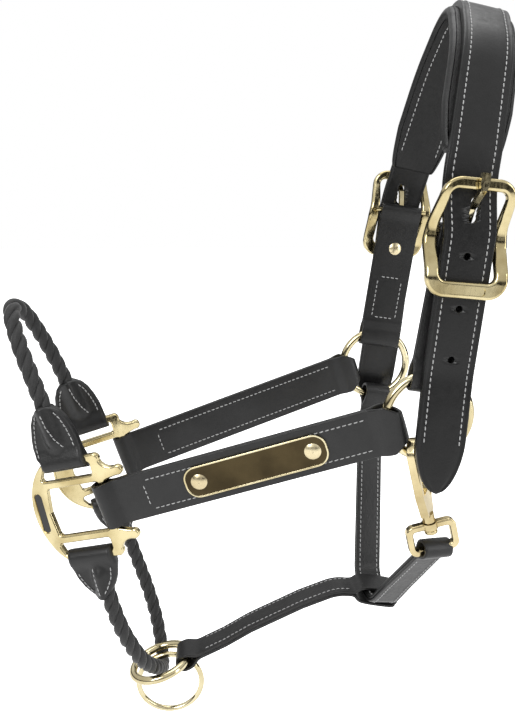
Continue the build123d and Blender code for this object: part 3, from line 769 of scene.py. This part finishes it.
# ---- tabs --------------------------------------------------------------------------------------
TAB_LEAF, TAB_FOLD_R, TAB_REACH = 2.4, 4.7, 6.1     # half thickness of the leaf, the fold and the swelling
FOLD_FADE = 9.0
TAB_ROWS, TAB_COLUMNS = 48, 30
TAB_SEAM_IN, TAB_SEAM_LIFT, TAB_SEAM_PITCH = 2.8, 0.05, 2.6
ROPE_SPREAD, ROPE_RISE = 9.4, 15.0      # half width of the swelling round the rope, and the length it rises over
# Edges and middle seams are lists of (up or down, forwards) from the front end of the cheek strap.
NOSE_TAB = {
    "tip": 58.0,
    "rope": NOSE_ROPE_ROUTE,
    "rope_from": 25.0,
    "middle": [(34, 14), (40, 17), (47, 19.5), (55, 21)],
    "left": [(22, 30.2), (28.2, 30.4), (31, 32.4), (36, 33), (41, 32.4), (49, 30.5), (53.5, 28.2),
             (56.4, 25), (58, 21)],
    "right": [(22, 5), (33.8, 6), (38.8, 6.5), (45, 8), (50.3, 10), (54.6, 12.8), (57, 16.4), (58, 20)],
}
CHIN_TAB = {
    "tip": 51.0,
    "rope": CHIN_ROPE_ROUTE,
    "rope_from": 23.0,
    "middle": [(32, 17.4), (40, 16.8), (48.5, 16)],
    "left": [(22, 30.2), (29.7, 30.4), (34, 29.8), (38, 28.8), (43, 26.2), (47, 23), (49.6, 20),
             (51, 16.6)],
    "right": [(22, 5), (27, 4.6), (32.5, 4.2), (39.7, 6.2), (44, 8.4), (48, 11.4), (50, 13.6), (51, 15.6)],
}


def between_points(points, v):
    """The second number at v along a list of (v, value)."""
    for (v0, a), (v1, b) in zip(points, points[1:]):
        if v <= v1:
            return a + (b - a) * (v - v0) / (v1 - v0)
    return points[-1][1]


def tab_height(shape, sign, u, v):
    """Half thickness of a tab: a fold round the bar, a flat leaf and a swelling round the rope."""
    route = [Vector(p) - SQUARE.origin for p in shape["rope"][:4]]
    local = [(sign * p.dot(SQUARE.y), -p.dot(SQUARE.x)) for p in route]
    over = abs(u - between_points(local, max(v, local[0][0]))) / ROPE_SPREAD
    swelling = TAB_REACH * 0.5 * (1 + cos(pi * min(over, 1.0))) * eased((v - shape["rope_from"]) / ROPE_RISE)
    past_bar = v - SLOT_BAR
    round_bar = sqrt(max(0.0, TAB_FOLD_R ** 2 - past_bar ** 2))
    if past_bar <= 0:
        return max(0.05, round_bar)
    leaf = TAB_LEAF + (TAB_FOLD_R - TAB_LEAF) * (1 - eased(past_bar / FOLD_FADE))
    return (leaf ** 4 + swelling ** 4) ** 0.25


def tab_seams(shape, sign):
    """Stitches inside the rim and a line down the middle."""
    seams = []
    for face in (1, -1):
        runs = [[(u + way * TAB_SEAM_IN, v) for v, u in shape[edge] if 30 < v < shape["tip"] - 2.5]
                for edge, way in (("left", -1), ("right", 1))]
        for run in runs + [[(u, v) for v, u in shape["middle"]]]:
            lifts = [tab_height(shape, sign, u, v) + TAB_SEAM_LIFT for u, v in run]
            places = [SQUARE.at(-u, sign * v, face * lift) for (u, v), lift in zip(run, lifts)]
            seams.append((places, [SQUARE.z * face] * len(run)))
    return seams


def tab(name, far, shape, sign, node):
    """Leaf of leather that wraps a rope's end and folds round a bar of the square."""
    low = SLOT_BAR - TAB_FOLD_R
    grid = []
    for r in range(TAB_ROWS + 1):
        v = low + (shape["tip"] - low) * r / TAB_ROWS
        u1, u0 = between_points(shape["left"], v), between_points(shape["right"], v)
        row = []
        for c in range(TAB_COLUMNS + 1):
            u = u0 + (u1 - u0) * c / TAB_COLUMNS
            rim = min(c, TAB_COLUMNS - c) / TAB_COLUMNS * (u1 - u0)
            rim = min(rim, shape["tip"] - v + 0.2) if v > SLOT_BAR + 5 else rim
            rounded = 0.5 + 0.5 * sqrt(min(1.0, rim / 1.2))
            row.append((u, v, tab_height(shape, sign, u, v) * rounded))
        grid.append(row)
    verts, faces = [], []
    across = TAB_COLUMNS + 1
    for face in (1, -1):
        start = len(verts)
        for row in grid:
            verts += [SQUARE.at(-u, sign * v, face * h) for u, v, h in row]
        for r in range(TAB_ROWS):
            for c in range(TAB_COLUMNS):
                a = start + r * across + c
                quad = (a, a + 1, a + across + 1, a + across)
                faces.append(quad if face * sign < 0 else tuple(reversed(quad)))
    half = len(verts) // 2
    rim_loop = list(range(across))
    rim_loop += [r * across + TAB_COLUMNS for r in range(1, TAB_ROWS + 1)]
    rim_loop += [TAB_ROWS * across + c for c in range(TAB_COLUMNS - 1, -1, -1)]
    rim_loop += [r * across for r in range(TAB_ROWS - 1, 0, -1)]
    for a, b in zip(rim_loop, rim_loop[1:] + rim_loop[:1]):
        quad = (a, b, half + b, half + a)
        faces.append(tuple(reversed(quad)) if sign < 0 else quad)
    kinds = [0] * (2 * TAB_ROWS * TAB_COLUMNS) + [1] * len(rim_loop)
    obj = piece(name, "face", verts, faces, [TAB_FACE, STRAP_EDGE], kinds, far)
    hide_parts(node)
    stitches(name + "_stitches", "face", tab_seams(shape, sign), far, TAB_SEAM_PITCH)


for side, far in (("near", False), ("far", True)):
    tab(f"{side}_nose_tab_leather", far, NOSE_TAB, 1, f"{side}_nose_tab")
    tab(f"{side}_chin_tab_leather", far, CHIN_TAB, -1, f"{side}_chin_tab")


# ---- ropes -------------------------------------------------------------------------------------
STRANDS, STRAND_R, STRAND_OUT, LAY = 3, 2.3, 2.15, 24.0
ROPE_STEP, STRAND_SIDES = 1.0, 14


def curve_points(route):
    """Points along the smooth curve whose control points are the route."""
    curve = bpy.data.curves.new("route", "CURVE")
    curve.dimensions = "3D"
    curve.resolution_u = 16
    spline = curve.splines.new("NURBS")
    spline.points.add(len(route) - 1)
    for point, place in zip(spline.points, route):
        point.co = (*[c * MM for c in place], 1.0)
    spline.order_u = 3
    spline.use_endpoint_u = True
    obj = bpy.data.objects.new("route", curve)
    bpy.context.scene.collection.objects.link(obj)
    bpy.context.view_layer.update()
    mesh = bpy.data.meshes.new_from_object(obj.evaluated_get(bpy.context.evaluated_depsgraph_get()))
    points = [v.co.copy() for v in mesh.vertices]
    bpy.data.objects.remove(obj)
    return points


def evenly(points, step):
    """The same line with points at an even spacing."""
    result, spare = [points[0]], step
    for a, b in zip(points, points[1:]):
        length = (b - a).length
        while spare <= length:
            result.append(a.lerp(b, spare / length))
            spare += step
        spare -= length
    return result + [points[-1]]


def rope(name, route, node):
    """Three laid strands along a route."""
    points = evenly(curve_points(route), ROPE_STEP * MM)
    verts, faces = [], []
    sides = STRAND_SIDES
    up = Vector((0, 0, 1)).cross(points[1] - points[0]).normalized()
    framed = []
    for i, here in enumerate(points):
        along = (points[min(i + 1, len(points) - 1)] - points[max(i - 1, 0)]).normalized()
        up = (up - along * up.dot(along)).normalized()
        framed.append((here / MM, along, up, along.cross(up)))
    for strand in range(STRANDS):
        start = len(verts)
        centres = []
        for i, (here, along, n, b) in enumerate(framed):
            turn = 2 * pi * (i * ROPE_STEP / LAY + strand / STRANDS)
            centres.append(here + n * (STRAND_OUT * cos(turn)) + b * (STRAND_OUT * sin(turn)))
        for i, centre in enumerate(centres):
            along = (centres[min(i + 1, len(centres) - 1)] - centres[max(i - 1, 0)]).normalized()
            out = (centre - framed[i][0])
            out = (out - along * out.dot(along)).normalized()
            side = along.cross(out)
            for k in range(sides):
                a = 2 * pi * k / sides
                ridge = 1 + 0.035 * cos(6 * a + i * 1.1)
                verts.append(centre + (out * cos(a) * 0.96 + side * sin(a) * 1.06) * (STRAND_R * ridge))
        for i in range(len(centres) - 1):
            for k in range(sides):
                m = (k + 1) % sides
                a = start + i * sides
                faces.append((a + k, a + m, a + sides + m, a + sides + k))
        faces.append(tuple(start + k for k in reversed(range(sides))))
        faces.append(tuple(start + (len(centres) - 1) * sides + k for k in range(sides)))
    obj = piece(name, "face", verts, faces, [ROPE])
    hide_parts(node)


rope("nose_rope_strands", NOSE_ROPE_ROUTE, "nose_rope")
rope("chin_rope_strands", CHIN_ROPE_ROUTE, "chin_rope")


# ---- metal -------------------------------------------------------------------------------------
METAL = {
    BRASS_CAST: ["near_buckle_frame", "far_buckle_frame", "near_cheek_square", "far_cheek_square"],
    BRASS_PLAIN: ["near_buckle_tongue", "far_buckle_tongue", "near_cheek_ring", "far_cheek_ring",
                  "jaw_ring", "lead_ring"],
    # the nameplate carries the painted dark reflection
    PLATE_DARK_REFLECTION: ["nameplate"],
    BRASS_SNAP: ["snap_hook", "snap_gate", "snap_eye"],
    RIVET: ["near_chape_rivet", "far_chape_rivet", "nameplate_rivets", "snap_gate_pin"],
}
for material, names in METAL.items():
    for name in names:
        for place in nodes[name].material_slots:
            place.material = material


PLATE_AT, PLATE_LONG, PLATE_HIGH, PLATE_CORNER, PLATE_TOP = -70.0, 75.0, 17.0, 7.0, 3.1


def plate_rim():
    """Bright bevelled rim round the nameplate's face."""
    outline = []
    for sx, sy, start in ((1, 1, 0), (-1, 1, 90), (-1, -1, 180), (1, -1, 270)):
        centre = (sx * (PLATE_LONG / 2 - PLATE_CORNER), sy * (PLATE_HIGH / 2 - PLATE_CORNER))
        for a in range(start, start + 91, 10):
            outline.append((centre, radians(a)))
    section = [(-0.1, -0.7), (0.12, 0.02), (-0.2, 0.22), (-0.75, 0.12), (-0.95, -0.1)]
    verts = []
    for centre, a in outline:
        for inset, lift in section:
            x = PLATE_AT + centre[0] + (PLATE_CORNER + inset) * cos(a)
            y = centre[1] + (PLATE_CORNER + inset) * sin(a)
            verts.append(STRAP.at(x, y, PLATE_TOP + lift))
    size, count = len(section), len(outline)
    faces = []
    for i in range(count):
        a, b = i * size, ((i + 1) % count) * size
        faces += [(a + k, b + k, b + (k + 1) % size, a + (k + 1) % size) for k in range(size)]
    obj = piece("nameplate_rim", "face", verts, faces, [BRASS_PLAIN])


PANEL_AT, PANEL_HALF_LONG, PANEL_HALF_WIDE = -39.6, 11.0, 2.5
BEND_FROM, BEND_DROP, BEND_RUN = -31.0, 5.5, 19.0


def square_panel(side, far):
    """Blank black panel in the recess of the square's front plate."""
    outline = []
    for a in range(0, 360, 12):
        end = 1 if a < 180 else -1
        y = end * (PANEL_HALF_LONG - PANEL_HALF_WIDE) + PANEL_HALF_WIDE * sin(radians(a))
        outline.append((PANEL_AT + PANEL_HALF_WIDE * cos(radians(a)), y))
    verts = []
    for lift in (1.0, 1.75):
        for x, y in outline:
            drop = (BEND_FROM - x) * BEND_DROP / BEND_RUN
            verts.append(SQUARE.at(x, y, lift - drop))
    count = len(outline)
    faces = [tuple(reversed(range(count))), tuple(range(count, 2 * count))]
    faces += [(k, (k + 1) % count, count + (k + 1) % count, count + k) for k in range(count)]
    obj = piece(f"{side}_square_panel", "face", verts, faces, [ENAMEL], None, far)


plate_rim()
for side, far in (("near", False), ("far", True)):
    square_panel(side, far)


# ---- stage, lights and camera ------------------------------------------------------------------
def area_light(name, at, aim, size, power):
    light = bpy.data.lights.new(name, "AREA")
    light.shape = "RECTANGLE"
    light.size, light.size_y = size
    light.energy = power
    obj = bpy.data.objects.new(name, light)
    obj.location = Vector(at)
    obj.rotation_euler = (Vector(aim) - Vector(at)).to_track_quat("-Z", "Y").to_euler()
    bpy.context.scene.collection.objects.link(obj)


# From straight down, 0, to straight up, 1.
SKY = [
    (0.0, grey(0.20)), (0.36, grey(0.24)), (0.45, grey(0.015)), (0.57, grey(0.03)), (0.64, grey(0.70)),
    (1.0, grey(0.8)),
]


def world():
    """White to the eye, with a dark band at eye level, so that the metal has something to reflect."""
    scene_world = bpy.data.worlds.new("studio")
    bpy.context.scene.world = scene_world
    scene_world.use_nodes = True
    tree = scene_world.node_tree
    place = tree.nodes.new("ShaderNodeTexCoord")
    split = tree.nodes.new("ShaderNodeSeparateXYZ")
    tree.links.new(place.outputs["Generated"], split.inputs["Vector"])
    spread = tree.nodes.new("ShaderNodeMapRange")
    spread.inputs["From Min"].default_value = -1.0
    tree.links.new(split.outputs["Z"], spread.inputs["Value"])
    sky = ramp(tree, spread.outputs["Result"], SKY)
    seen = tree.nodes.new("ShaderNodeLightPath")
    mix = tree.nodes.new("ShaderNodeMix")
    mix.data_type = "RGBA"
    tree.links.new(seen.outputs["Is Camera Ray"], mix.inputs["Factor"])
    tree.links.new(sky, mix.inputs["A"])
    mix.inputs["B"].default_value = (1, 1, 1, 1)
    tree.links.new(mix.outputs["Result"], tree.nodes["Background"].inputs["Color"])


FLOOR_DROP, FLOOR_HALF = 0.06, 6.0


def floor():
    """The sheet that the part is seen against."""
    low = CAD_BOX[0][2] - FLOOR_DROP
    corners = [(x * FLOOR_HALF, y * FLOOR_HALF, low) for x, y in ((-1, -1), (1, -1), (1, 1), (-1, 1))]
    mesh = bpy.data.meshes.new("floor")
    mesh.from_pydata(corners, [], [(0, 1, 2, 3)])
    material, tree, body = shader("floor_paper", Base_Color=(0.95, 0.95, 0.95, 1), Roughness=0.9,
                                  Emission_Color=(1, 1, 1, 1), Emission_Strength=0.0)
    seen = tree.nodes.new("ShaderNodeLightPath")
    glow = tree.nodes.new("ShaderNodeMapRange")
    glow.inputs["To Min"].default_value = 0.10
    glow.inputs["To Max"].default_value = 1.0
    tree.links.new(seen.outputs["Is Camera Ray"], glow.inputs["Value"])
    tree.links.new(glow.outputs["Result"], body.inputs["Emission Strength"])
    mesh.materials.append(material)
    obj = bpy.data.objects.new("floor", mesh)
    bpy.context.scene.collection.objects.link(obj)


world()
floor()
bpy.context.scene.view_settings.view_transform = "Standard"
MIDDLE = (-0.1, 0, -0.2)
area_light("key", (-0.9, -1.1, 0.7), MIDDLE, (0.7, 0.9), 12)
area_light("fill", (1.2, -0.9, 0.2), MIDDLE, (0.35, 1.2), 6)
area_light("top", (0.0, 0.3, 1.3), MIDDLE, (1.2, 1.2), 9)

camera = bpy.data.cameras.new("camera")
camera.sensor_fit = "VERTICAL"
camera.sensor_height = 36.0
camera.lens = 33.03
camera.clip_start = 0.01
viewer = bpy.data.objects.new("camera", camera)
viewer.location = (-0.1333, -0.3600, -0.0901)
AIM = Vector((-0.113, 0.0, -0.173))
viewer.rotation_euler = (AIM - viewer.location).to_track_quat("-Z", "Y").to_euler()
bpy.context.scene.collection.objects.link(viewer)
bpy.context.scene.camera = viewer
